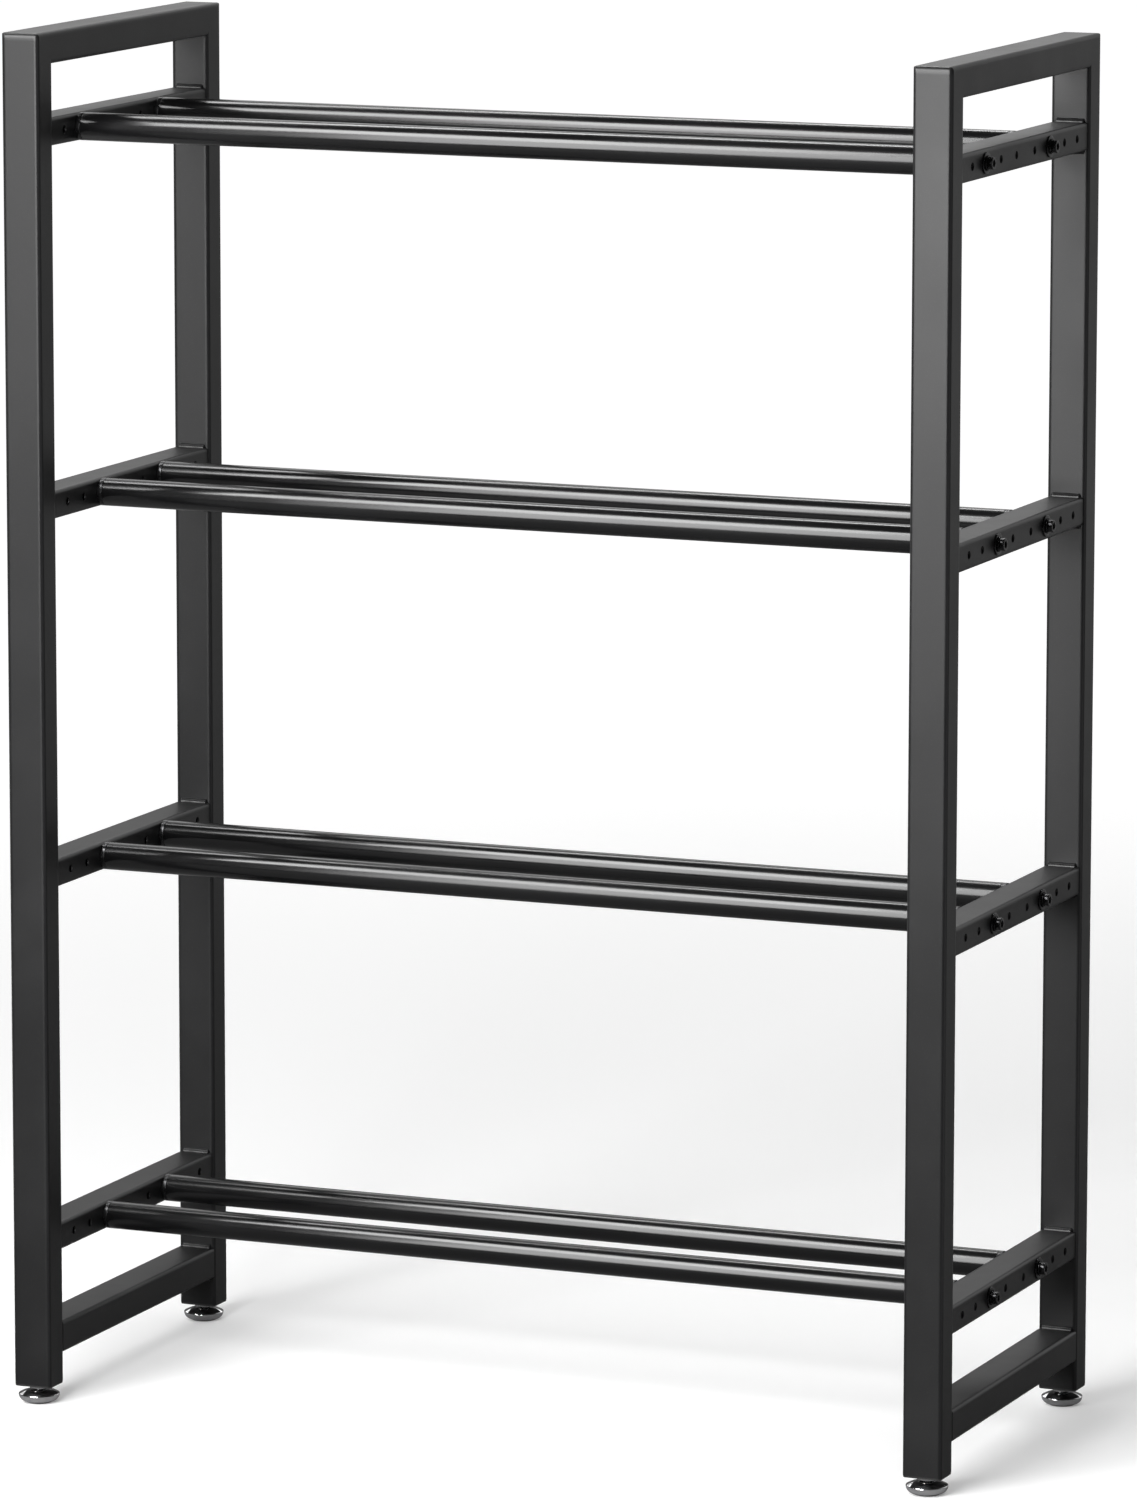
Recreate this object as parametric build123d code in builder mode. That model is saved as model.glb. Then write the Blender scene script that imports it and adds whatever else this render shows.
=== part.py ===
from build123d import *
import os

# A four-tier dumbbell rack, in millimetres. X runs across its width, the front faces -Y and the
# floor is at Z = 0, with the origin under the middle of the rack.
# Two welded side frames of rectangular tube carry two round rails per tier, screwed on at both ends.

os.makedirs("parts", exist_ok=True)

# Side frames, outside sizes
FRAME_WIDTH = 789.6
FRAME_DEPTH = 336.0
TOP_Z = 1097.0
POST_FOOT_Z = 14.0

# Frame tube, wide side across the rack
TUBE_X = 31.75
TUBE_Y = 25.4
TUBE_WALL = 1.5
TUBE_CORNER = 2.5

# Tier bars, a smaller tube centred between the posts
BAR_X = 28.6
BAR_Z = 22.2
BAR_CORNER = 2.0
BOTTOM_BAR_Z = 51.3
LOWEST_TIER_Z = 133.7
TIER_PITCH = 294.8
TIER_COUNT = 4

# Row of holes through each tier bar, mirrored about the middle of its length
HOLE_OFFSETS = [20.5, 55.0, 89.0, 118.5]
HOLE_RADIUS = 3.3

# Rails and the threaded plugs in their ends
RAIL_RADIUS = 11.1
RAIL_WALL = 1.5
PLUG_FLANGE = 4.0
PLUG_SPIGOT = 20.0
PLUG_PLAY = 0.05
TOP_TIER_RAIL_Y = (-HOLE_OFFSETS[2], HOLE_OFFSETS[1])
OTHER_TIER_RAIL_Y = (-HOLE_OFFSETS[1], HOLE_OFFSETS[1])

# M6 fasteners
SCREW_RADIUS = 3.0
SCREW_LENGTH = 45.0
SCREW_HEAD_RADIUS = 5.0
SCREW_HEAD_HEIGHT = 4.0
SOCKET_FLATS = 5.0
SOCKET_DEPTH = 2.5
THREAD_PLAY = 0.05
WASHER_RADIUS = 8.5
WASHER_THICKNESS = 1.2
SPRING_WASHER_RADIUS = 5.9
SPRING_WASHER_THICKNESS = 1.4
SPRING_WASHER_GAP = 1.2
WASHER_BORE_RADIUS = 3.2

# Weld beads
BEAD_LEG = 3.0

# Levelling feet, M8
STUD_RADIUS = 4.0
STUD_TOP_Z = 46.0
COLLAR_FLATS = 13.0
COLLAR_BOTTOM_Z = 11.0
COLLAR_HEIGHT = 2.6
RIVET_RADIUS = 6.0
RIVET_BOTTOM_Z = 6.9
RIVET_TOP_Z = 8.8
CUP_HOLE_RADIUS = 4.3
GLIDE_RADIUS = 10.8
GLIDE_RIM_RADIUS = 13.8
GLIDE_RIM_BOTTOM_Z = 4.8
GLIDE_TOP_Z = 6.2
INSERT_FLANGE = 1.6
INSERT_DEPTH = 14.0
INSERT_PLAY = 0.15
NUT_FLATS = 13.0
NUT_HEIGHT = 6.5

# Derived places
SIDES = {"left": -1, "right": 1}
ENDS = {"front": -1, "rear": 1}
FRAME_X = FRAME_WIDTH / 2 - TUBE_X / 2
POST_Y = FRAME_DEPTH / 2 - TUBE_Y / 2
POST_TUBE_Z = POST_FOOT_Z + INSERT_FLANGE
BAR_LENGTH = FRAME_DEPTH - 2 * TUBE_Y
BAR_INNER_X = FRAME_X - BAR_X / 2
BAR_OUTER_X = FRAME_X + BAR_X / 2
HOLE_YS = [end * offset for end in (-1, 1) for offset in HOLE_OFFSETS]
TIER_ZS = [LOWEST_TIER_Z + TIER_PITCH * step for step in reversed(range(TIER_COUNT))]
RAIL_YS = [TOP_TIER_RAIL_Y] + [OTHER_TIER_RAIL_Y] * (TIER_COUNT - 1)
RAIL_POINTS = [(y, z) for z, pair in zip(TIER_ZS, RAIL_YS) for y in pair]
RAIL_TUBE_LENGTH = 2 * (BAR_INNER_X - PLUG_FLANGE)


def save(piece, label):
    piece.part.label = label
    export_step(piece.part, f"parts/{label}.step")


def hollow_section(width, height, corner):
    # Rounded rectangular tube section with an even wall
    RectangleRounded(width, height, corner)
    inner_corner = corner - TUBE_WALL
    RectangleRounded(width - 2 * TUBE_WALL, height - 2 * TUBE_WALL, inner_corner, mode=Mode.SUBTRACT)


def mitre_plane(x, end):
    # 45 degree plane from the frame's outer top corner, its normal pointing up and inwards
    return Plane(origin=(x, end * FRAME_DEPTH / 2, TOP_Z), x_dir=(1, 0, 0), z_dir=(0, -end, 1))


def corner_cutter(x, end):
    # What is ground off the outer top edge, to leave the same radius as the tube's corners
    overlap = 1.0
    block = TUBE_CORNER + overlap
    centre_y = end * (FRAME_DEPTH / 2 - TUBE_CORNER)
    centre_z = TOP_Z - TUBE_CORNER
    with BuildPart() as cutter:
        with BuildSketch(Plane.YZ.offset(x)):
            with Locations((centre_y + end * block / 2, centre_z + block / 2)):
                Rectangle(block, block)
            with Locations((centre_y, centre_z)):
                Circle(TUBE_CORNER, mode=Mode.SUBTRACT)
        extrude(amount=TUBE_X, both=True)
    return cutter.part


# Posts, mitred at the top
for side_name, side in SIDES.items():
    for end_name, end in ENDS.items():
        x = side * FRAME_X
        cutter = corner_cutter(x, end)
        with BuildPart() as post:
            with BuildSketch(Plane((x, end * POST_Y, POST_TUBE_Z))):
                hollow_section(TUBE_X, TUBE_Y, TUBE_CORNER)
            extrude(amount=TOP_Z - POST_TUBE_Z)
            split(bisect_by=mitre_plane(x, end), keep=Keep.BOTTOM)
            add(cutter, mode=Mode.SUBTRACT)
        save(post, f"{side_name}_{end_name}_post")

# Top bars, mitred at both ends, and bottom bars between the posts
for side_name, side in SIDES.items():
    x = side * FRAME_X
    cutters = [corner_cutter(x, end) for end in ENDS.values()]
    with BuildPart() as top_bar:
        with BuildSketch(Plane(origin=(x, 0, TOP_Z - TUBE_Y / 2), x_dir=(1, 0, 0), z_dir=(0, 1, 0))):
            hollow_section(TUBE_X, TUBE_Y, TUBE_CORNER)
        extrude(amount=FRAME_DEPTH / 2, both=True)
        for end in ENDS.values():
            split(bisect_by=mitre_plane(x, end), keep=Keep.TOP)
        add(cutters, mode=Mode.SUBTRACT)
    save(top_bar, f"{side_name}_top_bar")

    with BuildPart() as bottom_bar:
        with BuildSketch(Plane(origin=(x, 0, BOTTOM_BAR_Z), x_dir=(1, 0, 0), z_dir=(0, 1, 0))):
            hollow_section(TUBE_X, TUBE_Y, TUBE_CORNER)
        extrude(amount=BAR_LENGTH / 2, both=True)
    save(bottom_bar, f"{side_name}_bottom_bar")

# Tier bars, drilled through both walls; tier 1 is the top one
for side_name, side in SIDES.items():
    for tier, z in enumerate(TIER_ZS, start=1):
        x = side * FRAME_X
        with BuildPart() as tier_bar:
            with BuildSketch(Plane(origin=(x, 0, z), x_dir=(1, 0, 0), z_dir=(0, 1, 0))):
                hollow_section(BAR_X, BAR_Z, BAR_CORNER)
            extrude(amount=BAR_LENGTH / 2, both=True)
            with BuildSketch(Plane.YZ.offset(x)):
                with Locations(*[(y, z) for y in HOLE_YS]):
                    Circle(HOLE_RADIUS)
            extrude(amount=BAR_X, both=True, mode=Mode.SUBTRACT)
        save(tier_bar, f"{side_name}_tier_bar_{tier}")

# Rails
for tier, z in enumerate(TIER_ZS, start=1):
    for end_name, y in zip(ENDS, RAIL_YS[tier - 1]):
        with BuildPart() as rail:
            with BuildSketch(Plane.YZ):
                with Locations((y, z)):
                    Circle(RAIL_RADIUS)
                    Circle(RAIL_RADIUS - RAIL_WALL, mode=Mode.SUBTRACT)
            extrude(amount=RAIL_TUBE_LENGTH / 2, both=True)
        save(rail, f"{end_name}_rail_{tier}")


def discs(x, radius, length, mode=Mode.ADD):
    # One disc on every rail's axis, from x outwards, or towards -X where the length is negative
    turn = 90 if length > 0 else -90
    with Locations(*[Location((x, y, z), (0, turn, 0)) for y, z in RAIL_POINTS]):
        Cylinder(radius, abs(length), align=(Align.CENTER, Align.CENTER, Align.MIN), mode=mode)


# Rail end plugs and the screws with their washers, one group of eight on each side
for side_name, side in SIDES.items():
    inner_x = side * BAR_INNER_X
    plug_length = PLUG_FLANGE + PLUG_SPIGOT
    with BuildPart() as plugs:
        discs(inner_x, RAIL_RADIUS, -side * PLUG_FLANGE)
        spigot_radius = RAIL_RADIUS - RAIL_WALL - PLUG_PLAY
        discs(inner_x - side * PLUG_FLANGE, spigot_radius, -side * PLUG_SPIGOT)
        discs(inner_x, SCREW_RADIUS + THREAD_PLAY, -side * plug_length, mode=Mode.SUBTRACT)
        spigot_ends = plugs.faces().filter_by(Axis.X).sort_by(Axis.X, reverse=side > 0)[-len(RAIL_POINTS):]
        chamfer([face.outer_wire().edges() for face in spigot_ends], length=0.8)
    save(plugs, f"{side_name}_rail_plugs")

    washer_x = side * BAR_OUTER_X
    with BuildPart() as washers:
        discs(washer_x, WASHER_RADIUS, side * WASHER_THICKNESS)
        discs(washer_x, WASHER_BORE_RADIUS, side * WASHER_THICKNESS, mode=Mode.SUBTRACT)
    save(washers, f"{side_name}_flat_washers")

    spring_x = washer_x + side * WASHER_THICKNESS
    with BuildPart() as spring_washers:
        discs(spring_x, SPRING_WASHER_RADIUS, side * SPRING_WASHER_THICKNESS)
        discs(spring_x, WASHER_BORE_RADIUS, side * SPRING_WASHER_THICKNESS, mode=Mode.SUBTRACT)
        with BuildSketch(Plane.YZ.offset(spring_x)):
            for y, z in RAIL_POINTS:
                with Locations((y, z + SPRING_WASHER_RADIUS / 2)):
                    Rectangle(SPRING_WASHER_GAP, SPRING_WASHER_RADIUS)
        extrude(amount=side * SPRING_WASHER_THICKNESS, mode=Mode.SUBTRACT)
    save(spring_washers, f"{side_name}_spring_washers")

    head_x = spring_x + side * SPRING_WASHER_THICKNESS
    head_end_x = head_x + side * SCREW_HEAD_HEIGHT
    with BuildPart() as screws:
        discs(head_x, SCREW_HEAD_RADIUS, side * SCREW_HEAD_HEIGHT)
        head_ends = screws.faces().filter_by(Axis.X).sort_by(Axis.X, reverse=side < 0)[-len(RAIL_POINTS):]
        chamfer([face.outer_wire().edges() for face in head_ends], length=0.6)
        discs(head_x, SCREW_RADIUS, -side * SCREW_LENGTH)
        with BuildSketch(Plane.YZ.offset(head_end_x)):
            with Locations(*RAIL_POINTS):
                RegularPolygon(SOCKET_FLATS / 2, 6, major_radius=False, rotation=30)
        extrude(amount=-side * SOCKET_DEPTH, mode=Mode.SUBTRACT)
    save(screws, f"{side_name}_rail_screws")


def bead_triangles(bar_z, bar_height):
    # Corners of the fillet weld sections above and below both ends of a bar
    triangles = []
    for end in ENDS.values():
        for up in (-1, 1):
            y = end * BAR_LENGTH / 2
            z = bar_z + up * bar_height / 2
            triangles.append([(y, z), (y - end * BEAD_LEG, z), (y, z + up * BEAD_LEG)])
    return triangles


# Weld beads across the flats of the bars, where they meet the posts
for side_name, side in SIDES.items():
    bead_plane = Plane.YZ.offset(side * FRAME_X)
    with BuildPart() as beads:
        with BuildSketch(bead_plane):
            for corners in [triangle for z in TIER_ZS for triangle in bead_triangles(z, BAR_Z)]:
                with BuildLine():
                    Polyline(*corners, close=True)
                make_face()
        extrude(amount=BAR_X / 2 - BAR_CORNER, both=True)
        with BuildSketch(bead_plane):
            for corners in bead_triangles(BOTTOM_BAR_Z, TUBE_Y):
                with BuildLine():
                    Polyline(*corners, close=True)
                make_face()
        extrude(amount=TUBE_X / 2 - TUBE_CORNER, both=True)
    save(beads, f"{side_name}_weld_beads")


def upright(x, y):
    # Plane through a foot's axis: local X is the radius, local Y is the height above the floor
    return Plane(origin=(x, y, 0), x_dir=(1, 0, 0), z_dir=(0, -1, 0))


# Levelling feet with the threaded inserts that close the posts
for side_name, side in SIDES.items():
    for end_name, end in ENDS.items():
        x = side * FRAME_X
        y = end * POST_Y
        foot_axis = Axis((x, y, 0), (0, 0, 1))
        corner_name = f"{side_name}_{end_name}"

        with BuildPart() as insert:
            with BuildSketch(Plane((x, y, POST_FOOT_Z))):
                RectangleRounded(TUBE_X - 2 * INSERT_PLAY, TUBE_Y - 2 * INSERT_PLAY, TUBE_CORNER)
            extrude(amount=INSERT_FLANGE)
            with BuildSketch(Plane((x, y, POST_TUBE_Z))):
                inset = TUBE_WALL + INSERT_PLAY
                RectangleRounded(TUBE_X - 2 * inset, TUBE_Y - 2 * inset, TUBE_CORNER - TUBE_WALL)
            extrude(amount=INSERT_DEPTH)
            chamfer(insert.faces().sort_by(Axis.Z)[-1].outer_wire().edges(), length=0.7)
            nut_z = POST_TUBE_Z + INSERT_DEPTH - NUT_HEIGHT
            with BuildSketch(Plane((x, y, nut_z))):
                RegularPolygon(NUT_FLATS / 2, 6, major_radius=False)
            extrude(amount=NUT_HEIGHT, mode=Mode.SUBTRACT)
            with BuildSketch(Plane((x, y, POST_FOOT_Z))):
                Circle(CUP_HOLE_RADIUS)
            extrude(amount=nut_z - POST_FOOT_Z, mode=Mode.SUBTRACT)
        save(insert, f"{corner_name}_foot_insert")

        with BuildPart() as nut:
            with BuildSketch(Plane((x, y, nut_z))):
                RegularPolygon(NUT_FLATS / 2, 6, major_radius=False)
                Circle(STUD_RADIUS + THREAD_PLAY, mode=Mode.SUBTRACT)
            extrude(amount=NUT_HEIGHT)
        save(nut, f"{corner_name}_foot_nut")

        with BuildPart() as cup:
            with BuildSketch(upright(x, y)):
                with BuildLine():
                    bowl = ThreePointArc((12.2, 1.0), (15.2, 3.0), (16.4, 6.3))
                    rim = ThreePointArc(bowl @ 1, (16.3, 6.9), (15.8, 7.2))
                    dome = ThreePointArc(rim @ 1, (10.4, 9.5), (CUP_HOLE_RADIUS, 10.6))
                    hole_edge = Line(dome @ 1, (CUP_HOLE_RADIUS, 9.4))
                    dome_inside = ThreePointArc(hole_edge @ 1, (10.0, 8.4), (14.9, 6.4))
                    bowl_inside = ThreePointArc(dome_inside @ 1, (14.0, 3.6), (11.3, 1.8))
                    lip = ThreePointArc(bowl_inside @ 1, (11.4, 1.1), bowl @ 0)
                make_face()
            revolve(axis=foot_axis)
        save(cup, f"{corner_name}_foot_cup")

        with BuildPart() as glide:
            with BuildSketch(Plane((x, y, 0))):
                Circle(GLIDE_RADIUS)
            extrude(amount=GLIDE_TOP_Z)
            chamfer(glide.faces().sort_by(Axis.Z)[0].edges(), length=0.6)
            with BuildSketch(Plane((x, y, GLIDE_RIM_BOTTOM_Z))):
                Circle(GLIDE_RIM_RADIUS)
            extrude(amount=GLIDE_TOP_Z - GLIDE_RIM_BOTTOM_Z)
        save(glide, f"{corner_name}_foot_glide")

        with BuildPart() as stud:
            with BuildSketch(Plane((x, y, RIVET_BOTTOM_Z))):
                Circle(RIVET_RADIUS)
            extrude(amount=RIVET_TOP_Z - RIVET_BOTTOM_Z)
            with BuildSketch(Plane((x, y, RIVET_TOP_Z))):
                Circle(STUD_RADIUS)
            extrude(amount=STUD_TOP_Z - RIVET_TOP_Z)
            chamfer(stud.faces().sort_by(Axis.Z)[-1].edges(), length=1.0)
            with BuildSketch(Plane((x, y, COLLAR_BOTTOM_Z))):
                RegularPolygon(COLLAR_FLATS / 2, 6, major_radius=False, rotation=30)
            extrude(amount=COLLAR_HEIGHT)
        save(stud, f"{corner_name}_foot_stud")
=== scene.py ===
import math
import bmesh
import bpy
import numpy as np
from mathutils import Matrix, Vector


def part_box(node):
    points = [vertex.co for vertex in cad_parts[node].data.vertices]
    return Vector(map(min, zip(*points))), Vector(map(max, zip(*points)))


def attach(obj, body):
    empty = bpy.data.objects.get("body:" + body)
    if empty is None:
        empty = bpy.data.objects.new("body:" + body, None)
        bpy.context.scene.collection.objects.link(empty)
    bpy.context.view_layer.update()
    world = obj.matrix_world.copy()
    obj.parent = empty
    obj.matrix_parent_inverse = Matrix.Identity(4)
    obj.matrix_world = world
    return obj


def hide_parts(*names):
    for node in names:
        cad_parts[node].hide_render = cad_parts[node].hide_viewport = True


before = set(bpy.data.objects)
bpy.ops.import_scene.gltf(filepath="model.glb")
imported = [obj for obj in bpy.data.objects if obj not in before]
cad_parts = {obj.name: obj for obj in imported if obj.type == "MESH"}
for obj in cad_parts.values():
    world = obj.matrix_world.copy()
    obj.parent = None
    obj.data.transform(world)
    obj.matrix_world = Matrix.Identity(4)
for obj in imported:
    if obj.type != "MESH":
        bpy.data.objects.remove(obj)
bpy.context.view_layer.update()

mm = 0.001
sides = {"left": -1, "right": 1}
ends = {"front": -1, "rear": 1}
tiers = [1, 2, 3, 4]
print("dumbbell rack: frame loaded with", len(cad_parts), "nodes")


# Middle and half size of a node's box, in metres
def middleOf(node):
    low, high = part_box(node)
    return (low + high) / 2, (high - low) / 2


frameX = middleOf("right_front_post")[0].x      # middle of a side frame
barHalf = middleOf("right_tier_bar_1")[1].x     # half the width of a tier bar
barFace = frameX + barHalf                      # outer face of the tier bars
barBack = frameX - barHalf                      # inner face, where the rails butt
railPlaces = [(end, tier) for tier in tiers for end in ends]
railAxes = np.array([middleOf(f"{end}_rail_{tier}")[0][1:] for end, tier in railPlaces])


# Each quad joins four neighbours of a grid of rows and columns, and a wrapped way joins its last to its first.
# The map's u follows the columns and v the rows, both from 0 to 1.
def gridFaces(rows, columns, wrapRows, wrapColumns):
    i, j = np.meshgrid(np.arange(rows - (not wrapRows)), np.arange(columns - (not wrapColumns)), indexing="ij")
    i = np.stack([i, i, i + 1, i + 1], -1).reshape(-1, 4)
    j = np.stack([j, j + 1, j + 1, j], -1).reshape(-1, 4)
    faces = (i % rows) * columns + j % columns
    spread = np.stack([j / columns, i / rows], -1)
    return faces, spread


# One or more equal grids of points, copies x rows x columns x 3, made one closed and welded mesh
def makePiece(name, grids, wrapRows, wrapColumns, sharpAngle=32):
    grids = grids.reshape(-1, *grids.shape[-3:])
    copies, rows, columns = grids.shape[:3]
    faces, spread = gridFaces(rows, columns, wrapRows, wrapColumns)
    starts = np.arange(copies)[:, None, None] * rows * columns
    mesh = bpy.data.meshes.new(name)
    mesh.from_pydata(grids.reshape(-1, 3), [], (starts + faces).reshape(-1, 4))
    run = mesh.uv_layers.new(name="run")
    run.data.foreach_set("uv", np.tile(spread.reshape(-1), copies).astype(np.float32))
    shell = bmesh.new()
    shell.from_mesh(mesh)
    bmesh.ops.remove_doubles(shell, verts=shell.verts, dist=2e-6)
    bmesh.ops.recalc_face_normals(shell, faces=shell.faces)
    shell.to_mesh(mesh)
    shell.free()
    mesh.shade_smooth()
    mesh.set_sharp_from_angle(angle=math.radians(sharpAngle))
    piece = bpy.data.objects.new(name, mesh)
    bpy.context.scene.collection.objects.link(piece)
    return piece


# Gives a piece its finish and its body, and hides the nodes it stands for
def fit(piece, body, slotName, material, *nodes):
    piece.data.materials.append(material)
    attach(piece, body)
    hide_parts(*nodes)
    return piece


# Corners of an outline eased to arcs: each arc touches both sides of its corner, and its centre is on their bisector
def eased(corners, radii, steps=5):
    corner = np.array(corners, float)
    radius = np.broadcast_to(np.array(radii, float), len(corner))[:, None]
    back = np.roll(corner, 1, 0) - corner
    on = np.roll(corner, -1, 0) - corner
    back /= np.linalg.norm(back, axis=1, keepdims=True)
    on /= np.linalg.norm(on, axis=1, keepdims=True)
    half = np.arccos(np.clip((back * on).sum(1, keepdims=True), -1, 1)) / 2
    bisector = (back + on) / np.linalg.norm(back + on, axis=1, keepdims=True)
    centre = corner + bisector * radius / np.sin(half)
    first = corner + back * radius / np.tan(half) - centre
    last = corner + on * radius / np.tan(half) - centre
    start = np.arctan2(first[:, 1], first[:, 0])
    turn = np.arctan2(last[:, 1], last[:, 0]) - start
    turn = (turn + np.pi) % (2 * np.pi) - np.pi
    angle = start[:, None] + turn[:, None] * np.linspace(0, 1, steps)
    return (centre[:, None] + radius[:, None] * np.stack([np.cos(angle), np.sin(angle)], -1)).reshape(-1, 2)


# Arc through three points: its centre is as far from all three, and its angle runs evenly from the first to the last
def arc(first, second, last, steps=12):
    a, b, c = (np.array(p, float) for p in (first, second, last))
    rows = 2 * np.array([b - a, c - a])
    centre = np.linalg.solve(rows, np.array([b @ b - a @ a, c @ c - a @ a]))
    at = [math.atan2(*(p - centre)[::-1]) for p in (a, b, c)]
    toSecond, toLast = ((at[k] - at[0]) % (2 * math.pi) for k in (1, 2))
    sweep = toLast if toSecond < toLast else toLast - 2 * math.pi
    angle = at[0] + sweep * np.linspace(0, 1, steps)
    return centre + np.linalg.norm(a - centre) * np.stack([np.cos(angle), np.sin(angle)], -1)


# Outline points (out, along) in mm turned about an axis: a point goes round at its distance out.
# Where its share of hexagon is 1, out is half the distance across flats, and the corners stand out by 1 / cos.
def turned(outline, around, hexShare=0.0):
    out, along = (np.array(outline, float) * mm).T[:, :, None]
    angle = np.arange(around) * 2 * np.pi / around
    fromFlat = (angle + np.pi / 6) % (np.pi / 3) - np.pi / 6
    share = np.broadcast_to(hexShare, len(outline))[:, None]
    reach = out * (1 - share + share / np.cos(fromFlat))
    return np.stack([reach * np.cos(angle), reach * np.sin(angle), along + 0 * angle], -1)


# Turned grids laid along X, outwards for that side, with copies at each rail's axis
def alongX(grid, x, side):
    copies = np.broadcast_to(grid[..., [2, 0, 1]], (len(railAxes), *grid.shape)).copy()
    copies[..., 0] = side * (x + copies[..., 0])
    copies[..., 1:] += railAxes[:, None, None]
    return copies


# Turned grid stood on a foot's axis
def onFoot(grid, node):
    middle = middleOf(node)[0]
    return grid + np.array([middle.x, middle.y, 0])


# A short way to write node trees: every call adds a node, sets its inputs and returns its first output
class Nodes:
    def __init__(self, tree):
        self.tree = tree
        self.tree.nodes.clear()

    def join(self, value, socket):
        if isinstance(value, bpy.types.NodeSocket):
            self.tree.links.new(value, socket)
        else:
            socket.default_value = value

    def math(self, operation, *values):
        node = self.tree.nodes.new("ShaderNodeMath")
        node.operation = operation
        for value, socket in zip(values, node.inputs):
            self.join(value, socket)
        return node.outputs[0]

    # Value carried from one range to another, held at its ends
    def ramp(self, value, low, high, start=0.0, end=1.0, smooth=True):
        node = self.tree.nodes.new("ShaderNodeMapRange")
        node.interpolation_type = "SMOOTHSTEP" if smooth else "LINEAR"
        for value, socket in zip((value, low, high, start, end), node.inputs):
            self.join(value, socket)
        return node.outputs[0]

    def blend(self, share, first, second):
        node = self.tree.nodes.new("ShaderNodeMix")
        node.data_type = "RGBA"
        self.join(share, node.inputs[0])
        self.join(first if isinstance(first, bpy.types.NodeSocket) else (*first, 1), node.inputs[6])
        self.join(second if isinstance(second, bpy.types.NodeSocket) else (*second, 1), node.inputs[7])
        return node.outputs[2]


# The nodes of one finish, measured on the object's own coordinates or on the run of its surface
class Finish(Nodes):
    def __init__(self, name):
        self.material = bpy.data.materials.new(name)
        self.material.use_nodes = True
        super().__init__(self.material.node_tree)
        self.shader = self.tree.nodes.new("ShaderNodeBsdfPrincipled")
        output = self.tree.nodes.new("ShaderNodeOutputMaterial")
        self.tree.links.new(self.shader.outputs[0], output.inputs[0])
        coordinates = self.tree.nodes.new("ShaderNodeTexCoord")
        self.place = coordinates.outputs["Object"]
        self.run = coordinates.outputs["UV"]

    # Noise from 0 to 1, its grain given in metres, stretched along any axis
    def noise(self, grain, detail=3, roughness=0.5, stretch=(1, 1, 1), vector=None):
        mapping = self.tree.nodes.new("ShaderNodeMapping")
        mapping.inputs["Scale"].default_value = [1 / (grain * s) for s in stretch]
        self.join(vector or self.place, mapping.inputs["Vector"])
        node = self.tree.nodes.new("ShaderNodeTexNoise")
        node.inputs["Scale"].default_value = 1
        node.inputs["Detail"].default_value = detail
        node.inputs["Roughness"].default_value = roughness
        self.tree.links.new(mapping.outputs[0], node.inputs["Vector"])
        return node.outputs["Fac"]

    # Bumps from a height, which depth turns into metres
    def bump(self, height, depth):
        node = self.tree.nodes.new("ShaderNodeBump")
        node.inputs["Distance"].default_value = depth
        node.inputs["Strength"].default_value = 1.0
        self.join(height, node.inputs["Height"])
        return node.outputs[0]

    def axes(self):
        node = self.tree.nodes.new("ShaderNodeSeparateXYZ")
        self.tree.links.new(self.place, node.inputs[0])
        return node.outputs

    def wear(self, **inputs):
        for name, value in inputs.items():
            self.join(value, self.shader.inputs[name.replace("_", " ")])
        return self.material


# Powder coat of the welded frame: satin black with a fine orange peel, thinner and smoother in gloss on the tubes'
# corners, where a painted sheen also lightens the colour
frameCoat = {
    # The edge colour is the colour of the pale specks and of the painted sheen on the corners; the corners' share of
    # it is set below
    "colour": (0.0045, 0.0045, 0.0048), "paler": (0.0072, 0.0072, 0.0076), "edge": (0.015, 0.015, 0.016),
    "roughness": 0.40, "roughnessDrift": 0.05, "edgeRoughness": 0.31,
    "peel": 2.2 * mm, "peelDepth": 0.022 * mm, "grain": 0.35 * mm, "grainDepth": 0.004 * mm,
    "drift": 160 * mm, "speck": 1.1 * mm, "speckShare": 0.35, "cornerSheenShare": 0.8, "grainRoughness": 0.10, "level": 0.32,
    "edgeWidth": 1.6 * mm, "edgeFlat": 0.3 * mm, "cornerSoft": 3.6 * mm, "softSlope": 0.55,
    "capSoft": 6.2 * mm, "capSlope": 0.72,
}


# Fall of the coat towards an edge, in metres: it starts a soft width away, and its slope grows evenly up to the edge
def softFall(finish, value, half, width, slope):
    near = finish.ramp(value, half - width, half, smooth=False)
    return finish.math("MULTIPLY", finish.math("MULTIPLY", near, near), -slope * width / 2)


# A tube's corners are where a point is near the limit of both its ways across: the product of both ramps.
# The coat falls softly towards them, so the corners look rounder than the bent steel.
def cornerBand(finish, first, second):
    s = frameCoat
    both = (first, second)
    ways = [finish.ramp(value, half - s["edgeWidth"], half - s["edgeFlat"]) for value, half in both]
    falls = [softFall(finish, value, half, s["cornerSoft"], s["softSlope"]) for value, half in both]
    return finish.math("MULTIPLY", *ways), finish.math("ADD", *falls)


# Distance of a coordinate from the nearer of two mirrored middles
def fromMirrored(finish, value, middle):
    return finish.math("ABSOLUTE", finish.math("SUBTRACT", finish.math("ABSOLUTE", value), middle))
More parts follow.
